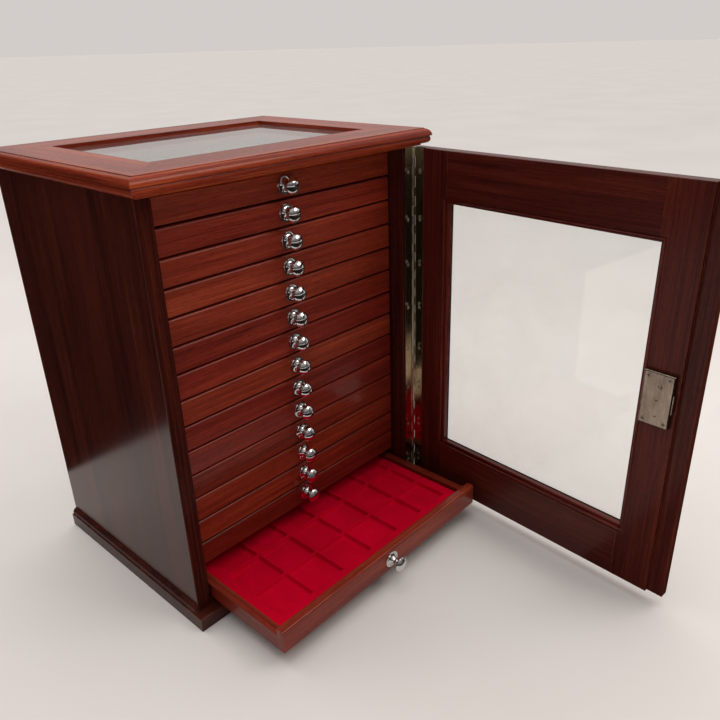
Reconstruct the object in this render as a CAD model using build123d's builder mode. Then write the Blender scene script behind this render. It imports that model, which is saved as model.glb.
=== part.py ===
"""Table-top coin cabinet: fifteen tray drawers behind a glazed door on a full-height piano hinge.

Millimetres, +Z up. The origin is under the middle of the carcass, on the surface that it stands on.
+X is to the right seen from the front, +Y runs to the back. The front edges of the side panels lie
at Y = -carcass_depth / 2. The pieces are placed with the door open and the lowest drawer pulled out.
"""
import os
from math import cos, radians, sin

from build123d import *

os.makedirs("parts", exist_ok=True)

# Driving dimensions: carcass
carcass_width = 377.0
carcass_depth = 280.0
side_thickness = 17.2
back_thickness = 8.0
base_top = 16.5
carcass_top = 476.2
top_thickness = 20.0
floor_board_top = 21.2
floor_board_setback = 3.0

panel_edge_rounding = 0.8

# Moulded overhangs beyond the carcass
base_side_overhang = 6.7
base_front_overhang = 13.9
base_edge_rounding = 1.2
cove_height = 7.0
cove_overhang = 5.0
cove_top_width = 0.8
cove_foot_height = 1.0
cove_radius = 7.2
cove_door_clearance = 17.0
front_extra_overhang = 8.4
band_overhang = 2.8
band_height = 3.0
torus_foot_overhang = 8.8
torus_radius = 5.0
groove_overhang = 10.4
groove_height = 1.0
nose_overhang = 12.4
nose_height = 1.4
nose_top_depth = 7.6
nose_radius = 8.0
flat_overhang = 5.6
quirk_height = 0.7

# Glazed opening in the top
top_rail_width = 49.4
top_front_rail_width = 53.0
top_ledge_width = 6.0
top_glass_depth = 4.6
glass_thickness = 3.0
glass_gap = 0.3

# Drawers
drawer_count = 15
drawer_pitch = 30.0
lowest_slot = 20.4
drawer_width = 337.0
drawer_recess = 21.8
drawer_back = 268.0
drawer_lift = 1.3
front_thickness = 10.0
front_height = 27.5
front_rounding = 2.5
front_edge_rounding = 0.5
side_board = 10.4
side_board_height = 18.6
back_board = 6.0
bottom_board = 3.0
pull_out = 143.4

# Runners under the drawers
runner_width = 12.0
runner_height = 7.0
runner_gap = 0.3
runner_setback = 33.0

# Velvet-covered coin trays
tray_columns = 6
tray_rows = 4
tray_pitch = 48.2
ridge = 2.6
tray_gap = 0.3
tray_top = 15.4
recess_depth = 5.0
tray_front_border = 20.4

# Knobs
knob_foot_radius = 9.9
knob_foot_rim = 1.2
knob_flare = (4.6, 3.9)
knob_neck_radius = 3.4
knob_neck_reach = 8.2
knob_underside = (5.0, 11.9)
knob_head_radius = 9.1
knob_head_reach = 14.2
knob_head_rim = 15.2
knob_length = 19.6
knob_stud_radius = 2.0
knob_stud_length = 8.0
stud_hole_spare = 0.5
stud_clearance = 0.05

# Hinge
hinge_axis_x = carcass_width / 2 + 1.5
hinge_axis_y = -carcass_depth / 2 - 1.6
hinge_bottom = 20.0
hinge_top = 474.0
knuckle_count = 38
knuckle_radius = 1.9
knuckle_gap = 0.35
pin_radius = 1.0
pin_clearance = 0.05
leaf_thickness = 1.1
leaf_half_gap = 0.5
leaf_inner_edge = 2.3
leaf_width = 13.4
hinge_screw_count = 8
hinge_screw_first = 36.0
hinge_screw_pitch = 58.4
hinge_screw_line = 10.2
screw_head_radius = 2.7
screw_head_depth = 1.4
screw_shank_radius = 1.4
screw_length = 11.0
screw_clearance = 0.05
recess_reach = 0.62
recess_width = 0.85
screw_recess_depth = 0.8

# Door, in its own u (from the hinge axis), z (up) and n (from the axis towards the inner face)
door_open_angle = 85.7
door_bottom = 17.5
door_top = 474.2
door_hinge_edge = 1.4
door_free_edge = 377.9
door_outer_face = -13.0
door_lip_face = -1.6
door_inner_face = 3.0
raised_from = 19.4
raised_to = 360.4
sight_u = (56.0, 317.5)
sight_z = (85.0, 412.0)
glazing_rebate = 7.0
door_glass_back = -10.5
bead_step = 3.8
bead_setback = 0.6
bead_inner_height = -1.6
bead_gap = 0.2
bead_rounding = 1.3
bead_lip_rounding = 1.6
outer_moulding = 2.5
door_edge_rounding = 1.0

# Lock
lock_u = (324.6, 356.6)
lock_z = (227.0, 286.0)
lock_depth = 5.5
lock_wall = 1.1
lock_edge_rounding = 1.5
bolt_z = (244.5, 265.5)
bolt_thickness = 3.0
bolt_projection = 1.4
bolt_tail = 335.0
bolt_clearance = 0.15
bolt_nose_rounding = 0.8
lock_screw_inset = 5.0
lock_screw_radius = 1.5
lock_screw_head_radius = 2.7
lock_screw_length = 13.0
key_pin_u = 342.6
key_pin_z = 271.5
key_pin_radius = 1.2
key_socket_radius = 2.6
key_boss_radius = 2.2
key_groove_radius = 1.7
key_groove_depth = 0.6
key_boss_height = 0.4
keyhole_radius = 2.0
keyhole_slot_width = 1.8
keyhole_slot_length = 6.5
rivet_places = ((340.8, 256.3), (341.6, 238.0))
rivet_radius = 1.4
rivet_dimple_radius = 0.7
rivet_dimple_depth = 0.9
mortise_y = (1.9, 6.5)
mortise_z = (242.0, 268.0)
mortise_depth = 8.0

# Worked-out places
front_y = -carcass_depth / 2
back_y = carcass_depth / 2
half_width = carcass_width / 2
inner_half_width = half_width - side_thickness
top_z = carcass_top + top_thickness
half_drawer = drawer_width / 2
top_reach = half_width + nose_overhang
top_front = front_y - front_extra_overhang - nose_overhang
opening_half = half_width + flat_overhang - top_rail_width
opening_front_y = front_y - front_extra_overhang - flat_overhang + top_front_rail_width
opening_back_y = back_y - top_rail_width
ledge_half = opening_half - top_ledge_width
ledge_front_y = opening_front_y + top_ledge_width
ledge_back_y = opening_back_y - top_ledge_width

door_turn = radians(door_open_angle)
door_plane = Plane(
    origin=(hinge_axis_x, hinge_axis_y, 0),
    x_dir=(-cos(door_turn), -sin(door_turn), 0),
    z_dir=(-sin(door_turn), cos(door_turn), 0),
)
closed_plane = Plane(origin=(hinge_axis_x, hinge_axis_y, 0), x_dir=(-1, 0, 0), z_dir=(0, 1, 0))


def save(name, *pieces):
    """Write one node; a node of several pieces keeps them as separate solids."""
    node = pieces[0] if len(pieces) == 1 else Compound(children=list(pieces))
    node.label = name
    export_step(node, f"parts/{name}.step")


def board(x, y, z):
    """A plain board between limits along X, Y and Z."""
    with BuildPart() as piece:
        with BuildSketch(Plane.XY.offset(z[0])):
            with Locations(((x[0] + x[1]) / 2, (y[0] + y[1]) / 2)):
                Rectangle(x[1] - x[0], y[1] - y[0])
        extrude(amount=z[1] - z[0])
    return piece.part


def slab(plane, u, v, n):
    """A plain board between limits along a plane's own two directions and its normal."""
    with BuildPart() as piece:
        with BuildSketch(plane.offset(n[0])):
            with Locations(((u[0] + u[1]) / 2, (v[0] + v[1]) / 2)):
                Rectangle(u[1] - u[0], v[1] - v[0])
        extrude(amount=n[1] - n[0])
    return piece.part


def slot_floor(number):
    """Height of the bottom of a drawer's slot; drawer 1 is the uppermost."""
    return lowest_slot + drawer_pitch * (drawer_count - number)


def slide_out(number):
    """How far a drawer stands out as placed: only the lowest one is open."""
    return pull_out if number == drawer_count else 0.0


def screw_set(plane, places, face, inward, clearance, head_radius, shank_radius, length):
    """Countersunk screws with cross recesses, or with a clearance the plain holes that take them.

    The heads are flush with a face offset from the plane; inward is the sign of the screws' way in.
    """
    head = plane.offset(face)
    neck = plane.offset(face + inward * screw_head_depth)
    with BuildPart() as screws:
        for place in places:
            for spot, radius in ((head, head_radius), (neck, shank_radius)):
                with BuildSketch(spot):
                    with Locations(place):
                        Circle(radius + clearance)
            loft()
            with BuildSketch(neck):
                with Locations(place):
                    Circle(shank_radius + clearance)
            extrude(amount=inward * (length - screw_head_depth))
        if not clearance:
            with BuildSketch(head):
                with Locations(*places):
                    Rectangle(2 * recess_reach * head_radius, recess_width)
                    Rectangle(recess_width, 2 * recess_reach * head_radius)
            extrude(amount=inward * screw_recess_depth, mode=Mode.SUBTRACT)
    return screws.part


def leaf_screws(plane, inward, clearance):
    """The screws of one hinge leaf, whose open face is leaf_half_gap from the plane, or their holes."""
    places = [(hinge_screw_line, hinge_screw_first + index * hinge_screw_pitch)
              for index in range(hinge_screw_count)]
    return screw_set(plane, places, inward * leaf_half_gap, inward, clearance,
                     screw_head_radius, screw_shank_radius, screw_length)


# Carcass
def make_left_side():
    """Left side panel with the mortise that the lock's bolt enters."""
    with BuildPart() as panel:
        add(board((-half_width, -inner_half_width), (front_y, back_y), (base_top, carcass_top)))
        fillet(panel.faces().sort_by(Axis.Y)[0].edges().filter_by(Axis.Z), radius=panel_edge_rounding)
        with BuildSketch(Plane.YZ.offset(-inner_half_width)):
            with Locations((front_y + sum(mortise_y) / 2, sum(mortise_z) / 2)):
                Rectangle(mortise_y[1] - mortise_y[0], mortise_z[1] - mortise_z[0])
        extrude(amount=-mortise_depth, mode=Mode.SUBTRACT)
    return panel.part


def make_right_side():
    """Right side panel with the screw holes of the hinge in its front edge."""
    with BuildPart() as panel:
        add(board((inner_half_width, half_width), (front_y, back_y), (base_top, carcass_top)))
        fillet(panel.faces().sort_by(Axis.Y)[0].edges().filter_by(Axis.Z), radius=panel_edge_rounding)
        add(leaf_screws(closed_plane, 1, screw_clearance), mode=Mode.SUBTRACT)
    return panel.part


save("left_side_panel", make_left_side())
save("right_side_panel", make_right_side())
save("back_panel", board((-inner_half_width, inner_half_width), (back_y - back_thickness, back_y),
                         (floor_board_top, carcass_top)))


def make_cove(side, start_y):
    """Cove strip between the base board and a side panel; side is -1 for left and 1 for right."""
    wall = half_width * side
    lip = wall + cove_top_width * side
    toe = wall + cove_overhang * side
    low = base_top + cove_foot_height
    high = base_top + cove_height
    with BuildPart() as strip:
        with BuildSketch(Plane.XZ.offset(-start_y)):
            with BuildLine():
                Polyline((toe, low), (toe, base_top), (wall, base_top), (wall, high), (lip, high))
                RadiusArc((lip, high), (toe, low), cove_radius * side)
            make_face()
        extrude(amount=-(back_y - start_y))
    return strip.part


def make_base_board():
    """Base board that the whole cabinet stands on, its upper front and side edges eased."""
    half_base = half_width + base_side_overhang
    with BuildPart() as base:
        add(board((-half_base, half_base), (front_y - base_front_overhang, back_y), (0, base_top)))
        top_edges = base.faces().sort_by(Axis.Z)[-1].edges()
        fillet(top_edges.sort_by(Axis.Y)[0], radius=base_edge_rounding)
    return base.part


save("base_plinth",
     make_base_board(),
     board((-inner_half_width, inner_half_width), (front_y + floor_board_setback, back_y),
           (base_top, floor_board_top)),
     make_cove(-1, front_y),
     make_cove(1, front_y + cove_door_clearance))


def moulded_bar(plane, reach, far, length):
    """A bar of the top's section on a plane, moulded beyond -reach and plain at the other end."""
    torus_low = carcass_top + band_height
    nose_low = top_z - nose_top_depth - nose_height
    edge = [(-reach - overhang, height) for overhang, height in (
        (band_overhang, carcass_top),
        (band_overhang, torus_low),
        (torus_foot_overhang, torus_low),
        (groove_overhang, nose_low - groove_height),
        (groove_overhang, nose_low),
        (nose_overhang, nose_low),
        (nose_overhang, nose_low + nose_height),
        (flat_overhang, top_z - quirk_height),
        (flat_overhang, top_z),
    )]
    with BuildPart() as bar:
        with BuildSketch(plane):
            with BuildLine():
                Polyline((far, top_z), (far, carcass_top), *edge[:3])
                RadiusArc(edge[2], edge[3], torus_radius)
                Polyline(*edge[3:7])
                RadiusArc(edge[6], edge[7], nose_radius)
                Polyline(edge[7], edge[8], (far, top_z))
            make_face()
        extrude(amount=length)
    return bar.part


def mitre_end(outer, inner):
    """Where a cut at 45 degrees from an outer corner meets the nearer of the two inside edges."""
    reach = min(abs(inner[0] - outer[0]), abs(inner[1] - outer[1]))
    return tuple(o + reach * (1 if i > o else -1) for o, i in zip(outer, inner))


def make_top_member(bars, corner, other_corner):
    """One mitred member of the top between two corners, rebated for the glass."""
    with BuildPart() as member:
        add(bars[0])
        for bar in bars[1:]:
            add(bar, mode=Mode.INTERSECT)
        with BuildSketch(Plane.XY.offset(carcass_top)):
            with BuildLine():
                Polyline(corner[0], other_corner[0], other_corner[1], other_corner[2], corner[2],
                         corner[1], close=True)
            make_face()
        extrude(amount=top_thickness, mode=Mode.INTERSECT)
        add(board((-opening_half, opening_half), (opening_front_y, opening_back_y),
                  (top_z - top_glass_depth - glass_thickness, top_z)), mode=Mode.SUBTRACT)
    return member.part


side_run = back_y - top_front
front_bar = moulded_bar(Plane.YZ.offset(-top_reach), -front_y + front_extra_overhang, back_y, 2 * top_reach)
left_bar = moulded_bar(Plane.XZ.offset(-back_y), half_width, top_reach, side_run)
right_bar = moulded_bar(Plane((0, top_front, 0), (-1, 0, 0), (0, 1, 0)), half_width, top_reach, side_run)
top_corners = []
for x_sign, outer_y, inner_y in ((-1, top_front, ledge_front_y), (1, top_front, ledge_front_y),
                                 (1, back_y, ledge_back_y), (-1, back_y, ledge_back_y)):
    outer_corner = (x_sign * top_reach, outer_y)
    inner_corner = (x_sign * ledge_half, inner_y)
    top_corners.append((outer_corner, mitre_end(outer_corner, inner_corner), inner_corner))
top_bars = ([left_bar], [front_bar], [right_bar], [left_bar, right_bar])
save("top_frame", *[make_top_member(top_bars[i], top_corners[i - 1], top_corners[i]) for i in range(4)])

save("top_glass", board((-opening_half + glass_gap, opening_half - glass_gap),
                        (opening_front_y + glass_gap, opening_back_y - glass_gap),
                        (top_z - top_glass_depth - glass_thickness, top_z - top_glass_depth)))


def make_runners():
    """A pair of runner strips under every drawer but the lowest, which slides on the floor board."""
    strips = []
    for number in range(1, drawer_count):
        top = slot_floor(number) + drawer_lift - runner_gap
        for side in (-1, 1):
            inner = sorted((side * inner_half_width, side * (inner_half_width - runner_width)))
            strips.append(board(inner, (front_y + runner_setback, back_y - back_thickness),
                                (top - runner_height, top)))
    return strips


save("drawer_runners", *make_runners())


# Drawers, trays and knobs
def make_drawer(number):
    """Drawer box: rounded front board, two sides, back and bottom."""
    low = slot_floor(number) + drawer_lift
    front = front_y + drawer_recess - slide_out(number)
    back = front_y + drawer_back - slide_out(number)
    inner_front = front + front_thickness
    inner_back = back - back_board
    side_top = low + side_board_height
    inner_half = half_drawer - side_board
    with BuildPart() as front_board:
        add(board((-half_drawer, half_drawer), (front, inner_front), (low, low + front_height)))
        face_edges = front_board.faces().sort_by(Axis.Y)[0].edges().sort_by(Axis.Z)
        fillet(face_edges[-1], radius=front_rounding)
        fillet(front_board.faces().sort_by(Axis.Y)[0].edges().sort_by(Axis.Z)[0],
               radius=front_edge_rounding)
        with BuildSketch(Plane.XZ.offset(-front)):
            with Locations((0, low + front_height / 2)):
                Circle(knob_stud_radius + stud_clearance)
        extrude(amount=-knob_stud_length - stud_hole_spare, mode=Mode.SUBTRACT)
    return [
        front_board.part,
        board((-half_drawer, -inner_half), (inner_front, back), (low, side_top)),
        board((inner_half, half_drawer), (inner_front, back), (low, side_top)),
        board((-inner_half, inner_half), (inner_back, back), (low, side_top)),
        board((-inner_half, inner_half), (inner_front, inner_back), (low, low + bottom_board)),
    ]


def make_tray(number):
    """Velvet tray: base, border strips and dividers around the square coin recesses."""
    low = slot_floor(number) + drawer_lift + bottom_board
    top = slot_floor(number) + tray_top
    floor = top - recess_depth
    front = front_y + drawer_recess + front_thickness - slide_out(number)
    back = front_y + drawer_back - back_board - slide_out(number)
    half = half_drawer - side_board - tray_gap
    field_half = (tray_columns * tray_pitch - ridge) / 2
    field_front = front + tray_front_border
    field_back = field_front + tray_rows * tray_pitch - ridge
    front += tray_gap
    back -= tray_gap
    solids = [
        board((-half, half), (front, back), (low, floor)),
        board((-half, half), (front, field_front), (floor, top)),
        board((-half, half), (field_back, back), (floor, top)),
        board((-half, -field_half), (field_front, field_back), (floor, top)),
        board((field_half, half), (field_front, field_back), (floor, top)),
    ]
    cell = tray_pitch - ridge
    for column in range(tray_columns):
        left = -field_half + column * tray_pitch
        if column:
            solids.append(board((left - ridge, left), (field_front, field_back), (floor, top)))
        for row in range(1, tray_rows):
            cell_front = field_front + row * tray_pitch
            solids.append(board((left, left + cell), (cell_front - ridge, cell_front), (floor, top)))
    return solids


def make_knob(number):
    """Turned knob: stud, flared foot, neck and domed head, on an axis along Y."""
    height = slot_floor(number) + drawer_lift + front_height / 2
    face = front_y + drawer_recess - slide_out(number)
    dome_rise = knob_length - knob_head_rim
    dome_radius = (knob_head_radius ** 2 + dome_rise ** 2) / (2 * dome_rise)
    foot_rim = (knob_foot_radius, -knob_foot_rim)
    neck = (knob_neck_radius, -knob_neck_reach)
    head_edge = (knob_head_radius, -knob_head_reach)
    with BuildPart() as knob:
        with BuildSketch(Plane(origin=(0, face, height), x_dir=(1, 0, 0), z_dir=(0, 0, 1))):
            with BuildLine():
                Polyline((0, -knob_length), (0, knob_stud_length), (knob_stud_radius, knob_stud_length),
                         (knob_stud_radius, 0), (knob_foot_radius, 0), foot_rim)
                ThreePointArc(foot_rim, (knob_flare[0], -knob_flare[1]), neck)
                ThreePointArc(neck, (knob_underside[0], -knob_underside[1]), head_edge)
                Line(head_edge, (knob_head_radius, -knob_head_rim))
                RadiusArc((knob_head_radius, -knob_head_rim), (0, -knob_length), dome_radius)
            make_face()
        revolve(axis=Axis((0, face, height), (0, 1, 0)))
    return knob.part


for drawer_number in range(1, drawer_count + 1):
    save(f"drawer_{drawer_number:02d}", *make_drawer(drawer_number))
    save(f"tray_{drawer_number:02d}", *make_tray(drawer_number))
    save(f"knob_{drawer_number:02d}", make_knob(drawer_number))


# Piano hinge
def make_leaf(plane, inward, first_knuckle):
    """Hinge leaf on one side of the pin, with every other knuckle and its countersunk holes."""
    knuckle_pitch = (hinge_top - hinge_bottom) / knuckle_count
    faces = sorted((inward * leaf_half_gap, inward * (leaf_half_gap + leaf_thickness)))
    leaf_outer_edge = leaf_inner_edge + leaf_width
    with BuildPart() as leaf:
        add(slab(plane, (leaf_inner_edge, leaf_outer_edge), (hinge_bottom, hinge_top), faces))
        for index in range(first_knuckle, knuckle_count, 2):
            low = hinge_bottom + index * knuckle_pitch + knuckle_gap / 2
            high = low + knuckle_pitch - knuckle_gap
            add(slab(plane, (pin_radius, leaf_inner_edge), (low, high), faces))
            with BuildSketch(Plane.XY.offset(low)):
                with Locations((hinge_axis_x, hinge_axis_y)):
                    Circle(knuckle_radius)
            extrude(amount=high - low)
        with BuildSketch(Plane.XY.offset(hinge_bottom)):
            with Locations((hinge_axis_x, hinge_axis_y)):
                Circle(pin_radius + pin_clearance)
        extrude(amount=hinge_top - hinge_bottom, mode=Mode.SUBTRACT)
        add(leaf_screws(plane, inward, screw_clearance), mode=Mode.SUBTRACT)
    return leaf.part


with BuildPart() as hinge_pin:
    with BuildSketch(Plane.XY.offset(hinge_bottom)):
        with Locations((hinge_axis_x, hinge_axis_y)):
            Circle(pin_radius)
    extrude(amount=hinge_top - hinge_bottom)

save("hinge_leaf_cabinet", make_leaf(closed_plane, 1, 0), *leaf_screws(closed_plane, 1, 0).solids())
save("hinge_leaf_door", make_leaf(door_plane, -1, 1), *leaf_screws(door_plane, -1, 0).solids())
save("hinge_pin", hinge_pin.part)


# Door
rebate_u = (sight_u[0] - glazing_rebate, sight_u[1] + glazing_rebate)
rebate_z = (sight_z[0] - glazing_rebate, sight_z[1] + glazing_rebate)
bead_back = door_glass_back + glass_thickness


def lock_screws(clearance):
    """The four screws of the lock, or with a clearance the countersunk holes that take them."""
    places = [(u, z)
              for u in (lock_u[0] + lock_screw_inset, lock_u[1] - lock_screw_inset)
              for z in (lock_z[0] + lock_screw_inset, lock_z[1] - lock_screw_inset)]
    return screw_set(door_plane, places, door_inner_face + lock_depth, -1, clearance,
                     lock_screw_head_radius, lock_screw_radius, lock_screw_length)


def make_door_blank():
    """The whole door's outline and thickness, with its outer edges eased."""
    with BuildPart() as blank:
        add(slab(door_plane, (door_hinge_edge, door_free_edge), (door_bottom, door_top),
                 (door_outer_face, door_inner_face)))
        faces = blank.faces().sort_by(Axis((0, 0, 0), door_plane.z_dir))
        fillet(faces[0].edges() + faces[-1].edges(), radius=door_edge_rounding)
    return blank.part


door_blank = make_door_blank()


def make_door_member(u, z):
    """One stile or rail between limits, rebated for the glass and for the cabinet's side panels."""
    with BuildPart() as member:
        add(slab(door_plane, u, z, (door_outer_face, door_inner_face)))
        add(door_blank, mode=Mode.INTERSECT)
        add(slab(door_plane, rebate_u, rebate_z, (door_glass_back, door_inner_face)), mode=Mode.SUBTRACT)
        if u[0] < raised_from:
            add(slab(door_plane, (u[0], raised_from), z, (door_lip_face, door_inner_face)),
                mode=Mode.SUBTRACT)
            add(leaf_screws(door_plane, -1, screw_clearance), mode=Mode.SUBTRACT)
        if u[1] > raised_to:
            add(slab(door_plane, (raised_to, u[1]), z, (door_lip_face, door_inner_face)),
                mode=Mode.SUBTRACT)
            add(lock_screws(screw_clearance), mode=Mode.SUBTRACT)
            with BuildSketch(door_plane.offset(door_outer_face)):
                with Locations((key_pin_u, key_pin_z)):
                    Circle(keyhole_radius)
                with Locations((key_pin_u, key_pin_z - keyhole_slot_length / 2)):
                    Rectangle(keyhole_slot_width, keyhole_slot_length)
            extrude(amount=door_inner_face - door_outer_face, mode=Mode.SUBTRACT)
        with BuildSketch(door_plane.offset(door_outer_face)):
            with Locations((sum(sight_u) / 2, sum(sight_z) / 2)):
                Rectangle(sight_u[1] - sight_u[0] + 2 * outer_moulding,
                          sight_z[1] - sight_z[0] + 2 * outer_moulding)
        extrude(amount=outer_moulding, taper=45, mode=Mode.SUBTRACT)
    return member.part


save("door_frame",
     make_door_member((door_hinge_edge, sight_u[0]), (door_bottom, door_top)),
     make_door_member((sight_u[1], door_free_edge), (door_bottom, door_top)),
     make_door_member(sight_u, (door_bottom, sight_z[0])),
     make_door_member(sight_u, (sight_z[1], door_top)))

save("door_glass", slab(door_plane,
                        (rebate_u[0] + glass_gap, rebate_u[1] - glass_gap),
                        (rebate_z[0] + glass_gap, rebate_z[1] - glass_gap),
                        (door_glass_back, bead_back)))


def bead_ring(inner, outer, high, rounding):
    """A closed rectangular ring around the sight opening, rounded along its upper edges."""
    centre = (sum(sight_u) / 2, sum(sight_z) / 2)
    width = sight_u[1] - sight_u[0]
    height = sight_z[1] - sight_z[0]
    with BuildPart() as ring:
        with BuildSketch(door_plane.offset(bead_back)):
            with Locations(centre):
                Rectangle(width + 2 * outer, height + 2 * outer)
                Rectangle(width + 2 * inner, height + 2 * inner, mode=Mode.SUBTRACT)
        extrude(amount=high - bead_back)
        upper_face = ring.faces().sort_by(Axis((0, 0, 0), door_plane.z_dir))[-1]
        fillet(upper_face.edges(), radius=rounding)
    return ring.part


def make_bead(corner, other_corner):
    """One mitred glazing bead, along the sight edge between two corners of the opening."""
    step = bead_ring(bead_step, glazing_rebate - bead_gap, door_inner_face - bead_setback, bead_rounding)
    lip = bead_ring(0, bead_step, bead_inner_height, bead_lip_rounding)
    centre = (sum(sight_u) / 2, sum(sight_z) / 2)
    outer = []
    for point in (corner, other_corner):
        outer.append(tuple(p + glazing_rebate * (1 if p > c else -1) for p, c in zip(point, centre)))
    with BuildPart() as bead:
        add(step)
        add(lip)
        with BuildSketch(door_plane.offset(bead_back)):
            with BuildLine():
                Polyline(corner, other_corner, outer[1], outer[0], close=True)
            make_face()
        extrude(amount=door_inner_face - bead_setback - bead_back, mode=Mode.INTERSECT)
    return bead.part


sight_corners = [(sight_u[0], sight_z[0]), (sight_u[1], sight_z[0]),
                 (sight_u[1], sight_z[1]), (sight_u[0], sight_z[1])]
save("glazing_beads", *[make_bead(sight_corners[i - 1], sight_corners[i]) for i in range(4)])


# Lock
bolt_back = door_inner_face + lock_wall
bolt_n = (bolt_back + bolt_clearance, bolt_back + bolt_clearance + bolt_thickness)


def make_lock_case():
    """Lock case on the free stile: a hollow for the bolt, a socket round the key pin, and rivets."""
    face = door_inner_face + lock_depth
    with BuildPart() as case:
        add(slab(door_plane, lock_u, lock_z, (door_inner_face, face)))
        outer_face = case.faces().sort_by(Axis((0, 0, 0), door_plane.z_dir))[-1]
        fillet(outer_face.edges(), radius=lock_edge_rounding)
        add(slab(door_plane, (bolt_tail - lock_wall, lock_u[1]),
                 (bolt_z[0] - bolt_clearance, bolt_z[1] + bolt_clearance),
                 (bolt_back, bolt_n[1] + bolt_clearance)), mode=Mode.SUBTRACT)
        with BuildSketch(door_plane.offset(door_inner_face)):
            with Locations((key_pin_u, key_pin_z)):
                Circle(key_socket_radius)
                Circle(key_pin_radius, mode=Mode.SUBTRACT)
        extrude(amount=lock_depth - lock_wall, mode=Mode.SUBTRACT)
        add(lock_screws(screw_clearance), mode=Mode.SUBTRACT)
        with BuildSketch(door_plane.offset(face)):
            with Locations((key_pin_u, key_pin_z)):
                Circle(key_boss_radius)
            with Locations(rivet_places):
                Circle(rivet_radius)
        extrude(amount=key_boss_height)
        with BuildSketch(door_plane.offset(face + key_boss_height)):
            with Locations((key_pin_u, key_pin_z)):
                Circle(key_groove_radius)
                Circle(key_pin_radius, mode=Mode.SUBTRACT)
        extrude(amount=-key_groove_depth, mode=Mode.SUBTRACT)
        with BuildSketch(door_plane.offset(face + key_boss_height)):
            with Locations(rivet_places):
                Circle(rivet_dimple_radius)
        extrude(amount=-rivet_dimple_depth, mode=Mode.SUBTRACT)
    return case.part


with BuildPart() as lock_bolt:
    add(slab(door_plane, (bolt_tail, lock_u[1] + bolt_projection), bolt_z, bolt_n))
    nose_face = lock_bolt.faces().sort_by(Axis((0, 0, 0), door_plane.x_dir))[-1]
    fillet(nose_face.edges(), radius=bolt_nose_rounding)

save("lock_case", make_lock_case(), *lock_screws(0).solids())
save("lock_bolt", lock_bolt.part)
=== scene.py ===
"""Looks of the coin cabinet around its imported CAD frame. Metres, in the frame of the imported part."""

import math

import bpy
from mathutils import Matrix, Vector, noise


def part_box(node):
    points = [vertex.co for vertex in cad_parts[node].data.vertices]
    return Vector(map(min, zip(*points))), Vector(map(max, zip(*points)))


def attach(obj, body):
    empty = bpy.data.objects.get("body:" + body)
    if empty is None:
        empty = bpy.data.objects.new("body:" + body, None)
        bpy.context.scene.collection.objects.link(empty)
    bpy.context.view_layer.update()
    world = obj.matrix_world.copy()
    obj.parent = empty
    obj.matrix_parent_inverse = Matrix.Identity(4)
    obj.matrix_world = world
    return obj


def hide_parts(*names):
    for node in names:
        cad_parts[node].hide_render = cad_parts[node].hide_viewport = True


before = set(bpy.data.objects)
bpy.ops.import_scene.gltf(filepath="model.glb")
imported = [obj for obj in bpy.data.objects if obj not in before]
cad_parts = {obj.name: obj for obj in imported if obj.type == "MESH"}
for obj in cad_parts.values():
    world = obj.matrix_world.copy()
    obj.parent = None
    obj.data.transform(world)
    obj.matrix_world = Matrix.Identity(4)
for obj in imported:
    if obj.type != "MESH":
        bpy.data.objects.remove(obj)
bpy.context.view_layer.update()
scene = bpy.context.scene
scene.view_settings.view_transform = "Standard"

# Places in the CAD model that the grain and the masks follow
DRAWERS = 15
DRAWER_PITCH = 0.030
LOWEST_SLOT = 0.0204
FRONT_BOARD_REACH = 0.0101
SIDE_BOARD_START = 0.1580
DOOR_ANGLE = math.radians(85.7)
DOOR_MIDDLE = 0.2
HINGE_AXIS = (0.190, -0.1416, 0.0)
SIGHT_U = (0.056, 0.3175)
SCREW_LINE = 0.0102
LOWEST_SCREW = 0.036
SCREW_PITCH = 0.0584
SCREW_HEAD_RADIUS = 0.0022

# Radius of eased edges, and the cosines of a normal's turn between which an edge grows from none to full
WOOD_EDGE = 0.0007
METAL_EDGE = 0.0003
EDGE_STARTS = 0.985
EDGE_FULL = 0.80


def paint(code):
    """Linear RGBA of an sRGB colour written as six hexadecimal digits."""
    parts = [int(code[i:i + 2], 16) / 255 for i in (0, 2, 4)]
    return tuple(p / 12.92 if p <= 0.04045 else ((p + 0.055) / 1.055) ** 2.4 for p in parts) + (1.0,)


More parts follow.
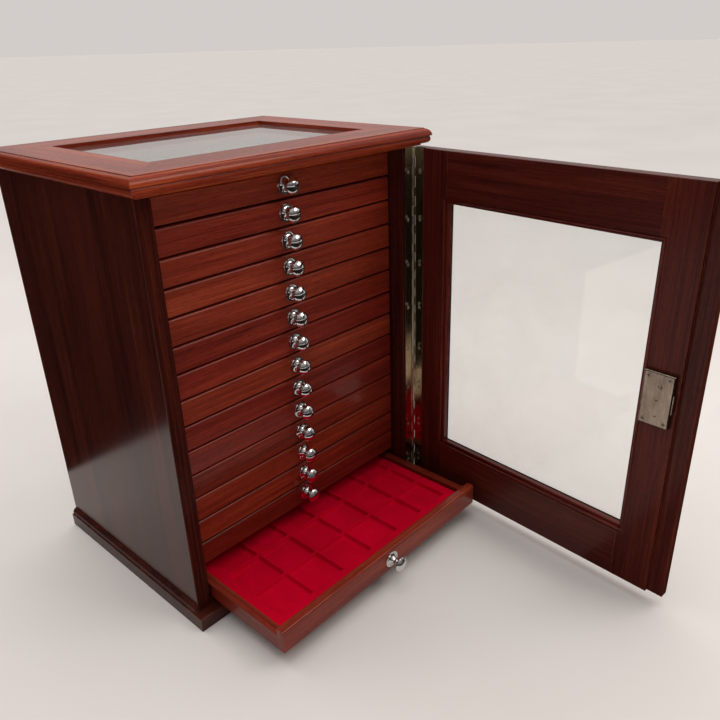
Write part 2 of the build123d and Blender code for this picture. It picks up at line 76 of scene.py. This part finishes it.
class Shader:
    """One material's node tree, with short calls for the nodes that the surfaces share.

    Sockets that share a name are given by number: a Mix node takes its factor at 0, vectors at 4 and 5
    and colours at 6 and 7.
    """

    def __init__(self, name):
        self.material = bpy.data.materials.new(name)
        self.material.use_nodes = True
        self.tree = self.material.node_tree
        self.tree.nodes.clear()
        coordinates = self.node("ShaderNodeTexCoord").outputs
        self.place = coordinates["Object"]
        self.facing = coordinates["Normal"]

    def node(self, kind, inputs=None, **settings):
        made = self.tree.nodes.new(kind)
        for key, value in settings.items():
            setattr(made, key, value)
        for key, value in (inputs or {}).items():
            self.feed(made.inputs[key], value)
        return made

    def feed(self, socket, value):
        if isinstance(value, bpy.types.NodeSocket):
            self.tree.links.new(value, socket)
        else:
            socket.default_value = value

    def math(self, operation, *values, clamp=False):
        made = self.node("ShaderNodeMath", dict(enumerate(values)), operation=operation, use_clamp=clamp)
        return made.outputs[0]

    def vector(self, operation, *values):
        return self.node("ShaderNodeVectorMath", dict(enumerate(values)), operation=operation).outputs[0]

    def dot(self, a, b):
        return self.node("ShaderNodeVectorMath", {0: a, 1: b}, operation="DOT_PRODUCT").outputs["Value"]

    def split(self, vector):
        return self.node("ShaderNodeSeparateXYZ", {0: vector}).outputs

    def join(self, x, y, z):
        return self.node("ShaderNodeCombineXYZ", {0: x, 1: y, 2: z}).outputs[0]

    def noise(self, where, per_metre, detail=2.0, roughness=0.5, distortion=0.0):
        scaled = self.vector("MULTIPLY", where, per_metre)
        inputs = {"Vector": scaled, "Scale": 1.0, "Detail": detail, "Roughness": roughness,
                  "Distortion": distortion}
        return self.node("ShaderNodeTexNoise", inputs).outputs[0]

    def span(self, value, low, high, to_low=0.0, to_high=1.0):
        return self.node("ShaderNodeMapRange", {0: value, 1: low, 2: high, 3: to_low, 4: to_high}).outputs[0]

    def ramp(self, value, stops):
        made = self.node("ShaderNodeValToRGB", {0: value})
        band = made.color_ramp
        while len(band.elements) < len(stops):
            band.elements.new(1.0)
        for element, (position, colour) in zip(band.elements, stops):
            element.position = position
            element.color = colour
        return made.outputs[0]

    def mix(self, factor, a, b, blend="MIX"):
        made = self.node("ShaderNodeMix", {0: factor, 6: a, 7: b}, data_type="RGBA", blend_type=blend)
        return made.outputs[2]

    def mix_vectors(self, factor, a, b):
        return self.node("ShaderNodeMix", {0: factor, 4: a, 5: b}, data_type="VECTOR").outputs[1]

    def rounded(self, radius):
        """Shading normal with edges eased by that radius, and how much of an edge each point is."""
        eased = self.node("ShaderNodeBevel", {"Radius": radius}, samples=6).outputs[0]
        true = self.node("ShaderNodeNewGeometry").outputs["True Normal"]
        return eased, self.span(self.dot(eased, true), EDGE_STARTS, EDGE_FULL)

    def finish(self, surface):
        output = self.node("ShaderNodeOutputMaterial")
        self.tree.links.new(surface, output.inputs["Surface"])
        return self.material


# Grain directions: each gives a vector of two distances across the grain and one along it.
def along_x(s):
    x, y, z = s.split(s.place)
    return s.join(y, z, x)


def along_y(s):
    x, y, z = s.split(s.place)
    return s.join(x, z, y)


def along_z(s):
    return s.place


def top_members(s):
    """Front and back members run along X and the side members along Y, up to the mitred corners."""
    x, y, z = s.split(s.place)
    low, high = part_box("top_frame")
    aside = s.math("SUBTRACT", high.x, s.math("ABSOLUTE", x))
    before = s.math("SUBTRACT", y, low.y)
    behind = s.math("SUBTRACT", high.y, y)
    sides = s.math("LESS_THAN", aside, s.math("MINIMUM", before, behind))
    side_run = s.vector("ADD", s.join(x, z, y), (0.9, 0.4, 0.3))
    return s.mix_vectors(sides, s.join(y, z, x), side_run)


def polished_faces(s):
    """Thick varnish on the wide faces of a side panel and almost none on its edges."""
    outward = s.math("ABSOLUTE", s.split(s.facing)[0])
    return s.span(outward, 0.5, 0.8, 0.08, 0.85)


def drawer_chance(s, seed):
    """A random colour and value for the drawer slot that a point lies in."""
    height = s.math("SUBTRACT", s.split(s.place)[2], LOWEST_SLOT)
    level = s.math("FLOOR", s.math("DIVIDE", height, DRAWER_PITCH))
    return s.node("ShaderNodeTexWhiteNoise", {"W": s.math("ADD", level, seed)}, noise_dimensions="1D").outputs


def drawer_boards(front):
    """The front board and the back board run along X and the sides along Y; front is the drawer's face."""
    def space(s):
        x, y, z = s.split(s.place)
        beyond = s.math("GREATER_THAN", y, front + FRONT_BOARD_REACH)
        outside = s.math("GREATER_THAN", s.math("ABSOLUTE", x), SIDE_BOARD_START)
        luck = drawer_chance(s, 0.37)["Color"]
        sides = s.math("MULTIPLY", beyond, outside)
        run = s.mix_vectors(sides, s.join(y, z, x), s.join(x, z, y))
        return s.vector("ADD", run, s.vector("MULTIPLY", luck, (3.0, 3.0, 3.0)))
    return space


def door_boards(s):
    """Stiles run along Z and rails along the door's own width."""
    turned = s.node("ShaderNodeVectorRotate", {"Vector": s.place, "Center": HINGE_AXIS, "Axis": (0, 0, 1),
                                               "Angle": -DOOR_ANGLE}).outputs[0]
    x, y, z = s.split(turned)
    width = s.math("SUBTRACT", HINGE_AXIS[0], x)
    middle = s.math("SUBTRACT", width, sum(SIGHT_U) / 2)
    stile = s.math("GREATER_THAN", s.math("ABSOLUTE", middle), (SIGHT_U[1] - SIGHT_U[0]) / 2)
    upper = s.math("GREATER_THAN", z, DOOR_MIDDLE)
    rail_run = s.join(s.math("ADD", y, s.math("MULTIPLY", upper, 0.7)), z, width)
    free = s.math("GREATER_THAN", middle, 0.0)
    stile_run = s.join(width, s.math("ADD", y, s.math("MULTIPLY", free, 1.3)), z)
    return s.mix_vectors(stile, rail_run, stile_run)


def wood(name, space, tones, seed, figure=0.5, edge_wear_and_highlight=0.5, rough=0.38, shine=0.08, coat=0.38,
         edge_wear_and_highlight_tone="b0623a", luck=0.0):
    """Stained and varnished hardwood: broad tone, ribbon, fine streaks, open pores, and edges lighter by wear
    and by a painted highlight.

    space gives the grain direction, tones run from dark to light, and luck is how much drawers differ.
    coat is a number or a function that makes a mask.
    """
    s = Shader(name)
    run = s.vector("ADD", space(s), (seed, seed * 1.7, seed * 0.6))
    broad = s.noise(run, (24, 24, 2.2), 2.0, 0.5, 0.5)
    ribbon = s.noise(run, (130, 130, 4.0), 3.0, 0.6, 0.3)
    streak = s.noise(run, (820, 820, 15), 2.0, 0.65)
    rings = s.node("ShaderNodeTexWave", {"Vector": s.vector("MULTIPLY", run, (55, 38, 1.5)), "Scale": 1.0,
                                         "Distortion": 5.0, "Detail": 2.0, "Detail Scale": 0.8,
                                         "Detail Roughness": 0.5}, wave_type="BANDS",
                   bands_direction="X").outputs["Fac"]
    pores = s.span(s.noise(run, (2100, 2100, 95), 1.0, 0.5), 0.57, 0.70)
    depth = s.math("ADD", s.math("MULTIPLY", broad, 0.34), s.math("MULTIPLY", ribbon, 0.33))
    depth = s.math("ADD", depth, s.math("MULTIPLY", streak, 0.33))
    depth = s.math("ADD", depth, s.math("MULTIPLY", s.math("SUBTRACT", rings, 0.5), 0.10 * figure))
    colour = s.ramp(depth, list(zip((0.33, 0.46, 0.55, 0.67), [paint(t) for t in tones])))
    colour = s.mix(s.math("MULTIPLY", pores, 0.55), colour, paint(tones[0]), "MULTIPLY")
    if luck:
        chance = drawer_chance(s, 7.61)["Value"]
        colour = s.node("ShaderNodeHueSaturation", {"Hue": s.span(chance, 0, 1, 0.497, 0.503),
                                                    "Value": s.span(chance, 0, 1, 1 - luck, 1 + luck),
                                                    "Color": colour}).outputs[0]
    eased, edges = s.rounded(WOOD_EDGE)
    # Edges turn lighter: partly wear, partly a painted highlight where light catches the eased edge.
    rubbed_and_lit_edges = s.math("MULTIPLY", edges, s.span(s.noise(s.place, (90, 90, 90), 3.0, 0.6), 0.35, 0.65))
    colour = s.mix(s.math("MULTIPLY", rubbed_and_lit_edges, edge_wear_and_highlight), colour, paint(edge_wear_and_highlight_tone))
    height = s.math("SUBTRACT", s.math("MULTIPLY", streak, 0.5), pores)
    bump = s.node("ShaderNodeBump", {"Strength": 0.15, "Distance": 0.00025, "Height": height,
                                     "Normal": eased}).outputs[0]
    roughness = s.math("ADD", s.span(streak, 0.3, 0.7, rough - 0.05, rough + 0.07),
                       s.math("MULTIPLY", pores, 0.15))
    surface = s.node("ShaderNodeBsdfPrincipled", {
        "Base Color": colour, "Roughness": roughness, "Normal": bump, "Specular IOR Level": shine,
        "Coat Weight": coat(s) if callable(coat) else coat, "Coat Roughness": 0.17, "Coat Normal": eased})
    return s.finish(surface.outputs[0])


def velvet(name):
    """Short-pile crimson velvet with a brushed, blotchy nap."""
    s = Shader(name)
    brushed = s.noise(s.place, (30, 18, 30), 2.0, 0.5, 0.4)
    pile = s.noise(s.place, (2200, 2200, 2200), 1.0, 0.6)
    tone = s.math("ADD", s.math("MULTIPLY", brushed, 0.5), s.math("MULTIPLY", pile, 0.5))
    colour = s.ramp(tone, [(0.30, paint("ac001c")), (0.50, paint("c40025")), (0.70, paint("d8002c"))])
    bump = s.node("ShaderNodeBump", {"Strength": 0.35, "Distance": 0.0003, "Height": pile}).outputs[0]
    surface = s.node("ShaderNodeBsdfPrincipled", {
        "Base Color": colour, "Roughness": s.span(brushed, 0.3, 0.7, 0.80, 0.95), "Normal": bump,
        "Specular IOR Level": 0.04, "Sheen Weight": 0.22, "Sheen Roughness": 0.35,
        "Sheen Tint": paint("ff2a40")})
    return s.finish(surface.outputs[0])


def metal(name, dark, light, rough, specks=0.0, shine=0.6, recess_shade=0.0, spots=None, painted_glint_tone="e4e0da"):
    """Metal with fine brushed lines, soft tarnish, painted shade in corners and painted highlights on its
    edges.

    spots is a function that makes a mask of places given a painted glint, a lighter colour on a duller
    finish, such as screw heads.
    """
    s = Shader(name)
    lines = s.noise(s.place, (1500, 1500, 30), 2.0, 0.6)
    cloud = s.noise(s.place, (60, 60, 25), 3.0, 0.6, 0.5)
    tone = s.math("ADD", s.math("MULTIPLY", lines, 0.4), s.math("MULTIPLY", cloud, 0.6))
    colour = s.ramp(tone, [(0.35, paint(dark)), (0.65, paint(light))])
    if specks:
        marks = s.span(s.noise(s.place, (700, 700, 700), 2.0, 0.7), 0.60, 0.70)
        colour = s.mix(s.math("MULTIPLY", marks, specks), colour, paint(dark), "MULTIPLY")
    roughness = s.span(tone, 0.35, 0.65, rough + 0.06, max(rough - 0.05, 0.03))
    # Painted glint: masked places such as screw heads get a lighter colour, though a rougher finish.
    if spots:
        heads = spots(s)
        colour = s.mix(heads, colour, paint(painted_glint_tone))
        roughness = s.math("ADD", roughness, s.math("MULTIPLY", heads, 0.3))
    # Painted shade: the colour darkens towards near-black in recesses, joints and screw slots, by how
    # enclosed each point is.
    if recess_shade:
        open_air = s.node("ShaderNodeAmbientOcclusion", {"Distance": 0.0012}, samples=6, only_local=True)
        colour = s.mix(s.span(open_air.outputs["AO"], 0.85, 0.35, 0.0, recess_shade), colour, paint("0c0a08"))
    eased, edges = s.rounded(METAL_EDGE)
    # Painted highlight: eased edges are mixed towards near-white.
    colour = s.mix(s.math("MULTIPLY", edges, shine), colour, paint("efe8dc"))
    bump = s.node("ShaderNodeBump", {"Strength": 0.08, "Distance": 0.0001, "Height": lines,
                                     "Normal": eased}).outputs[0]
    surface = s.node("ShaderNodeBsdfPrincipled", {
        "Base Color": colour, "Metallic": 1.0, "Normal": bump, "Roughness": roughness})
    return s.finish(surface.outputs[0])


def chrome(name):
    """Polished chrome plate with faint smears."""
    s = Shader(name)
    smear = s.noise(s.place, (220, 220, 220), 3.0, 0.6, 0.6)
    colour = s.ramp(smear, [(0.3, paint("c9c7c9")), (0.7, paint("e6e4e3"))])
    surface = s.node("ShaderNodeBsdfPrincipled", {
        "Base Color": colour, "Metallic": 1.0, "Roughness": s.span(smear, 0.3, 0.7, 0.045, 0.11)})
    return s.finish(surface.outputs[0])


def glass(name, haze):
    """Clear pane: mirrors more at shallow angles, lets light through, and carries a thin uneven haze."""
    s = Shader(name)
    smear = s.noise(s.place, (14, 14, 14), 3.0, 0.6, 0.8)
    clear = s.node("ShaderNodeBsdfTransparent", {"Color": (0.965, 0.975, 0.970, 1)}).outputs[0]
    gloss = s.node("ShaderNodeBsdfAnisotropic", {"Color": (0.95, 0.95, 0.95, 1), "Roughness": 0.03})
    turned_away = s.node("ShaderNodeLayerWeight", {"Blend": 0.5}).outputs["Facing"]
    share = s.span(s.math("POWER", turned_away, 5.0), 0.0, 1.0, 0.04, 1.0)
    pane = s.node("ShaderNodeMixShader", {0: share, 1: clear, 2: gloss.outputs[0]}).outputs[0]
    dust = s.node("ShaderNodeBsdfDiffuse", {"Color": (0.86, 0.86, 0.85, 1)}).outputs[0]
    dusty = s.node("ShaderNodeMixShader", {0: s.span(smear, 0.35, 0.7, haze * 0.4, haze), 1: pane, 2: dust})
    return s.finish(dusty.outputs[0])


def hinge_screws(across):
    """Mask of one leaf's screw heads, evenly spaced along Z; across is the distance from their line."""
    def mask(s):
        x, _, z = s.split(s.place)
        step = s.math("WRAP", s.math("SUBTRACT", z, LOWEST_SCREW), SCREW_PITCH / 2, -SCREW_PITCH / 2)
        aside = across(s, x)
        away = s.math("SQRT", s.math("ADD", s.math("POWER", step, 2.0), s.math("POWER", aside, 2.0)))
        return s.math("LESS_THAN", away, SCREW_HEAD_RADIUS)
    return mask


def cabinet_leaf_line(s, x):
    return s.math("SUBTRACT", x, HINGE_AXIS[0] - SCREW_LINE)


def door_leaf_line(s, x):
    outward = (-math.cos(DOOR_ANGLE), -math.sin(DOOR_ANGLE), 0)
    reach = s.dot(s.vector("SUBTRACT", s.place, HINGE_AXIS), outward)
    return s.math("SUBTRACT", reach, SCREW_LINE)


def floor_cloth(name):
    """Plain pale cloth with hardly any change of tone."""
    s = Shader(name)
    cloud = s.noise(s.place, (2.2, 2.2, 2.2), 2.0, 0.5)
    colour = s.ramp(cloud, [(0.3, paint("dfdad7")), (0.7, paint("e3e0dd"))])
    surface = s.node("ShaderNodeBsdfPrincipled", {"Base Color": colour, "Roughness": 0.7,
                                                  "Specular IOR Level": 0.25})
    return s.finish(surface.outputs[0])


# Stains, each from its darkest streaks to its lightest
DARK_TONES = ("220a07", "371410", "481b13", "5a2519")
DOOR_TONES = ("2a0c08", "451610", "541d14", "6a2b1c")
DRAWER_TONES = ("48120a", "732316", "862e1c", "a44428")
BEAD_TONES = ("300c08", "521810", "64221a", "7c3226")
TOP_TONES = ("4e1409", "802a13", "9a3a19", "b85423")
BARE_TONES = ("5a3018", "7c4a28", "8f5a34", "a26c42")

# Nickelled steel of the hinge leaves
LEAF = dict(dark="b0a28a", light="c6baa4", rough=0.10, shine=0.05)


def dress(material, *names):
    """Gives CAD nodes a material."""
    for name in names:
        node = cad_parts[name]
        if not node.material_slots:
            node.data.materials.append(material)
        for slot in node.material_slots:
            slot.material = material


def drawer_names(kind):
    return [f"{kind}_{number:02d}" for number in range(1, DRAWERS + 1)]


# In each wood below, the edges are lightened partly by wear and partly by a painted highlight.
dress(wood("wood_sides", along_z, DARK_TONES, 0.3, figure=0.6, edge_wear_and_highlight=0.35, rough=0.40, shine=0.0,
           coat=polished_faces),
      "left_side_panel", "right_side_panel")
dress(wood("wood_back", along_z, DARK_TONES, 1.9, figure=1.0, edge_wear_and_highlight=0.2, rough=0.5, coat=0.1), "back_panel")
dress(wood("wood_base", along_x, DARK_TONES, 2.7, figure=0.6, edge_wear_and_highlight=0.8), "base_plinth")
dress(wood("wood_top", top_members, TOP_TONES, 4.1, figure=0.8, edge_wear_and_highlight=0.9, edge_wear_and_highlight_tone="c8602a", coat=0.30),
      "top_frame")
dress(wood("wood_runners", along_y, BARE_TONES, 5.3, coat=0.0, rough=0.6), "drawer_runners")
closed_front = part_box("drawer_01")[0].y
open_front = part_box("drawer_15")[0].y
dress(wood("wood_drawers", drawer_boards(closed_front), DRAWER_TONES, 6.1, figure=0.5, edge_wear_and_highlight=0.6, luck=0.09),
      *drawer_names("drawer")[:-1])
dress(wood("wood_open_drawer", drawer_boards(open_front), DRAWER_TONES, 6.1, figure=0.7, edge_wear_and_highlight=0.8),
      "drawer_15")
dress(wood("wood_door", door_boards, DOOR_TONES, 8.2, figure=0.5, edge_wear_and_highlight=0.7, coat=0.22), "door_frame")
dress(wood("wood_beads", door_boards, BEAD_TONES, 9.4, figure=0.2, edge_wear_and_highlight=0.8, edge_wear_and_highlight_tone="9a5040", rough=0.3),
      "glazing_beads")
dress(chrome("chrome_knobs"), *drawer_names("knob"))
# The hinge leaves' screw heads carry painted glints.
dress(metal("steel_cabinet_leaf", spots=hinge_screws(cabinet_leaf_line), **LEAF), "hinge_leaf_cabinet")
dress(metal("steel_door_leaf", spots=hinge_screws(door_leaf_line), **LEAF), "hinge_leaf_door")
dress(metal("steel_pin", "807563", "968a76", 0.2, shine=0.05), "hinge_pin")
# The lock gets strong painted shade in its recesses and painted highlights on its edges.
dress(metal("nickel_lock", "85766a", "b0a292", 0.25, specks=0.35, recess_shade=0.9), "lock_case", "lock_bolt")
dress(glass("pane_door", 0.05), "door_glass")
dress(glass("pane_top", 0.06), "top_glass")


# Velvet trays: one soft continuous surface each, in place of the CAD model's plain boards and strips
TRAY_COLUMNS = 6
TRAY_ROWS = 4
TRAY_PITCH = 0.0482
RIDGE = 0.0026
FRONT_BORDER = 0.0204
FRONT_GAP = 0.0003
RECESS_DEPTH = 0.005
RIDGE_REACH = 0.0030
RIDGE_CROWN = 0.0007
RIDGE_SLOPE = RIDGE_REACH - 0.0010
RIM_DROP = 0.0006
RIM_WIDTH = 0.0016
NAP_DEPTH = 0.00025
NAP_PER_METRE = 45
SAME_PLACE = 1e-6
RIDGE_STEPS = (-1.0, -0.78, -0.58, -0.42, -0.26, 0.0, 0.26, 0.42, 0.58, 0.78, 1.0)
RECESS_SHARES = (0.08, 0.25, 0.5, 0.75, 0.92)
RIM_SHIFTS = (0.0004, 0.001, 0.002)


def smooth(t):
    t = min(max(t, 0.0), 1.0)
    return t * t * (3 - 2 * t)


def tray_lines(first, count, low, high):
    """Grid places along one side of a tray, and the centres of the ridges around its recesses."""
    centres = [first - RIDGE / 2 + index * TRAY_PITCH for index in range(count + 1)]
    places = {low, high}
    for centre in centres:
        places.update(centre + step * RIDGE_REACH for step in RIDGE_STEPS)
    for before, after in zip(centres, centres[1:]):
        inside = after - before - 2 * RIDGE_REACH
        places.update(before + RIDGE_REACH + inside * share for share in RECESS_SHARES)
    for edge, inward in ((low, 1), (high, -1)):
        places.update(edge + inward * shift for shift in RIM_SHIFTS)
    kept = []
    for place in sorted(p for p in places if low <= p <= high):
        if not kept or place - kept[-1] > SAME_PLACE:
            kept.append(place)
    return kept, centres


def ridge_level(place, centres):
    """0 in the middle of a recess, and 1 on a ridge or beyond the outer ridges' centre lines."""
    if place <= centres[0] or place >= centres[-1]:
        return 1.0
    away = min(abs(place - centre) for centre in centres)
    return 1.0 - smooth((away - RIDGE_CROWN) / RIDGE_SLOPE)


def make_tray(number):
    """A tray's velvet: a relief with ridges and recesses, closed by a skirt and a flat underside."""
    low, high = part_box(f"tray_{number:02d}")
    xs, x_centres = tray_lines(-(TRAY_COLUMNS * TRAY_PITCH - RIDGE) / 2, TRAY_COLUMNS, low.x, high.x)
    ys, y_centres = tray_lines(low.y - FRONT_GAP + FRONT_BORDER, TRAY_ROWS, low.y, high.y)
    seed = Vector((number * 3.1, number * 1.7, 0.0))
    verts, faces = [], []
    for y in ys:
        for x in xs:
            level = 1.0 - (1.0 - ridge_level(x, x_centres)) * (1.0 - ridge_level(y, y_centres))
            rim = min(x - low.x, high.x - x, y - low.y, high.y - y)
            height = high.z - RECESS_DEPTH * (1.0 - level)
            height -= RIM_DROP * (1.0 - smooth(rim / RIM_WIDTH))
            nap = noise.noise(Vector((x * NAP_PER_METRE, y * NAP_PER_METRE, 0)) + seed)
            height -= NAP_DEPTH * (0.5 + 0.5 * nap)
            verts.append((x, y, height))
    wide, deep = len(xs), len(ys)
    for row in range(deep - 1):
        for column in range(wide - 1):
            corner = row * wide + column
            faces.append((corner, corner + 1, corner + wide + 1, corner + wide))
    rim_loop = list(range(wide))
    rim_loop += [row * wide + wide - 1 for row in range(1, deep)]
    rim_loop += [(deep - 1) * wide + column for column in range(wide - 2, -1, -1)]
    rim_loop += [row * wide for row in range(deep - 2, 0, -1)]
    foot = len(verts)
    verts += [(verts[index][0], verts[index][1], low.z) for index in rim_loop]
    count = len(rim_loop)
    for index in range(count):
        after = (index + 1) % count
        faces.append((rim_loop[after], rim_loop[index], foot + index, foot + after))
    faces.append(tuple(range(foot + count - 1, foot - 1, -1)))
    mesh = bpy.data.meshes.new(f"velvet_tray_{number:02d}")
    mesh.from_pydata(verts, [], faces)
    for polygon in mesh.polygons:
        polygon.use_smooth = polygon.index < (wide - 1) * (deep - 1)
    mesh.update()
    piece = bpy.data.objects.new(f"velvet_tray_{number:02d}", mesh)
    scene.collection.objects.link(piece)
    return piece


pile = velvet("velvet_pile")
for number in range(1, DRAWERS + 1):
    tray = make_tray(number)
    tray.data.materials.append(pile)
    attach(tray, f"drawer_{number:02d}_body")
    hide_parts(f"tray_{number:02d}")


# Floor, light and camera
def make_floor():
    """A round pale floor just under the object, wide enough to reach the horizon."""
    mesh = bpy.data.meshes.new("floor")
    sides, radius = 96, 60.0
    verts = [(radius * math.cos(2 * math.pi * i / sides), radius * math.sin(2 * math.pi * i / sides), 0.0)
             for i in range(sides)]
    mesh.from_pydata(verts, [], [tuple(range(sides))])
    floor = bpy.data.objects.new("floor", mesh)
    floor.location.z = -0.0002
    mesh.materials.append(floor_cloth("floor_cloth"))
    scene.collection.objects.link(floor)


def make_world():
    """Pale surroundings, brightest overhead and behind the object, and dim behind the camera."""
    world = bpy.data.worlds.new("studio")
    world.use_nodes = True
    tree = world.node_tree
    background = tree.nodes["Background"]
    direction = tree.nodes.new("ShaderNodeTexCoord").outputs["Generated"]

    def toward(axis, low, high, bright):
        """Brightness that grows with how far a direction leans towards an axis."""
        lean = tree.nodes.new("ShaderNodeVectorMath")
        lean.operation = "DOT_PRODUCT"
        tree.links.new(direction, lean.inputs[0])
        lean.inputs[1].default_value = Vector(axis).normalized()
        grown = tree.nodes.new("ShaderNodeMapRange")
        grown.interpolation_type = "SMOOTHSTEP"
        tree.links.new(lean.outputs["Value"], grown.inputs["Value"])
        grown.inputs["From Min"].default_value = low
        grown.inputs["From Max"].default_value = high
        grown.inputs["To Max"].default_value = bright
        return grown.outputs["Result"]

    behind = toward((0.68, 0.73, 0.0), -0.15, 0.30, 0.58)
    overhead = toward((0.0, 0.0, 1.0), 0.15, 0.85, 0.45)
    dimmest = 0.12
    part = tree.nodes.new("ShaderNodeMath")
    part.inputs[0].default_value = dimmest
    tree.links.new(behind, part.inputs[1])
    total = tree.nodes.new("ShaderNodeMath")
    tree.links.new(part.outputs[0], total.inputs[0])
    tree.links.new(overhead, total.inputs[1])
    tree.links.new(total.outputs[0], background.inputs["Strength"])
    background.inputs["Color"].default_value = paint("f6f0ec")
    scene.world = world


def make_sun(toward, strength, spread):
    """Soft light from a wide panel high above; spread is its width in degrees."""
    data = bpy.data.lights.new("sky_panel", "SUN")
    data.energy = strength
    data.angle = math.radians(spread)
    lamp = bpy.data.objects.new("sky_panel", data)
    lamp.rotation_euler = Vector(toward).to_track_quat("-Z", "Y").to_euler()
    scene.collection.objects.link(lamp)


def make_card(name, corners, colour):
    """A dark card that only mirrored rays meet: a painted dark reflection."""
    mesh = bpy.data.meshes.new(name)
    mesh.from_pydata(corners, [], [(0, 1, 2, 3)])
    card = Shader(name)
    surface = card.node("ShaderNodeBsdfDiffuse", {"Color": colour})
    mesh.materials.append(card.finish(surface.outputs[0]))
    reflection_only_card = bpy.data.objects.new(name, mesh)
    for ray in ("camera", "diffuse", "transmission", "volume_scatter", "shadow"):
        setattr(reflection_only_card, f"visible_{ray}", False)
    scene.collection.objects.link(reflection_only_card)


def make_dark_reflection_cards():
    """Painted dark reflections: one card beyond the left keeps the side panel's reflection deep, one on the
    floor darkens the mirrored pale cloth in front.
    """
    make_card("side_dark_reflection_card", [(-3.0, 0.27, 0.0), (-0.20, 0.27, 0.0), (-0.20, 0.27, 2.0), (-3.0, 0.27, 2.0)],
              (0.010, 0.009, 0.008, 1))
    make_card("front_dark_reflection_card", [(-3.0, -3.0, 0.0005), (3.0, -3.0, 0.0005), (3.0, -0.41, 0.0005),
                             (-3.0, -0.41, 0.0005)],
              (0.014, 0.012, 0.010, 1))


def soft_box(name, place, target, size, power, tint):
    """A rectangular studio light; power is in watts."""
    data = bpy.data.lights.new(name, "AREA")
    data.shape = "RECTANGLE"
    data.size, data.size_y = size
    data.energy = power
    data.color = paint(tint)[:3]
    lamp = bpy.data.objects.new(name, data)
    lamp.location = place
    lamp.rotation_euler = (Vector(target) - Vector(place)).to_track_quat("-Z", "Y").to_euler()
    scene.collection.objects.link(lamp)


def make_camera():
    """The photograph's view: angles in radians, lens and sensor in millimetres."""
    yaw, pitch, roll = 0.826, 0.423, -0.026
    forward = Vector((math.sin(yaw) * math.cos(pitch), math.cos(yaw) * math.cos(pitch), -math.sin(pitch)))
    level = Vector((math.cos(yaw), -math.sin(yaw), 0.0))
    upright = level.cross(forward)
    right = math.cos(roll) * level + math.sin(roll) * upright
    up = -math.sin(roll) * level + math.cos(roll) * upright
    data = bpy.data.cameras.new("camera")
    data.sensor_width = 36.0
    data.lens = 35.09
    data.shift_x = -0.0127
    data.shift_y = -0.0070
    data.clip_start = 0.02
    camera = bpy.data.objects.new("camera", data)
    camera.matrix_world = Matrix((right, up, -forward)).transposed().to_4x4()
    camera.location = (-0.4948, -0.6907, 0.5937)
    scene.collection.objects.link(camera)
    scene.camera = camera


make_floor()
make_world()
make_dark_reflection_cards()
make_sun(toward=(0.12, 0.02, -1.20), strength=0.80, spread=48.0)
soft_box("key", place=(0.7, -1.2, 1.5), target=(0.0, -0.1, 0.2), size=(0.9, 0.6), power=8.0, tint="fff6ee")
soft_box("back_panel_light", place=(-0.4, 1.3, 2.1), target=(0.0, 0.0, 0.2), size=(1.2, 0.6), power=7.0,
         tint="fffaf6")
make_camera()
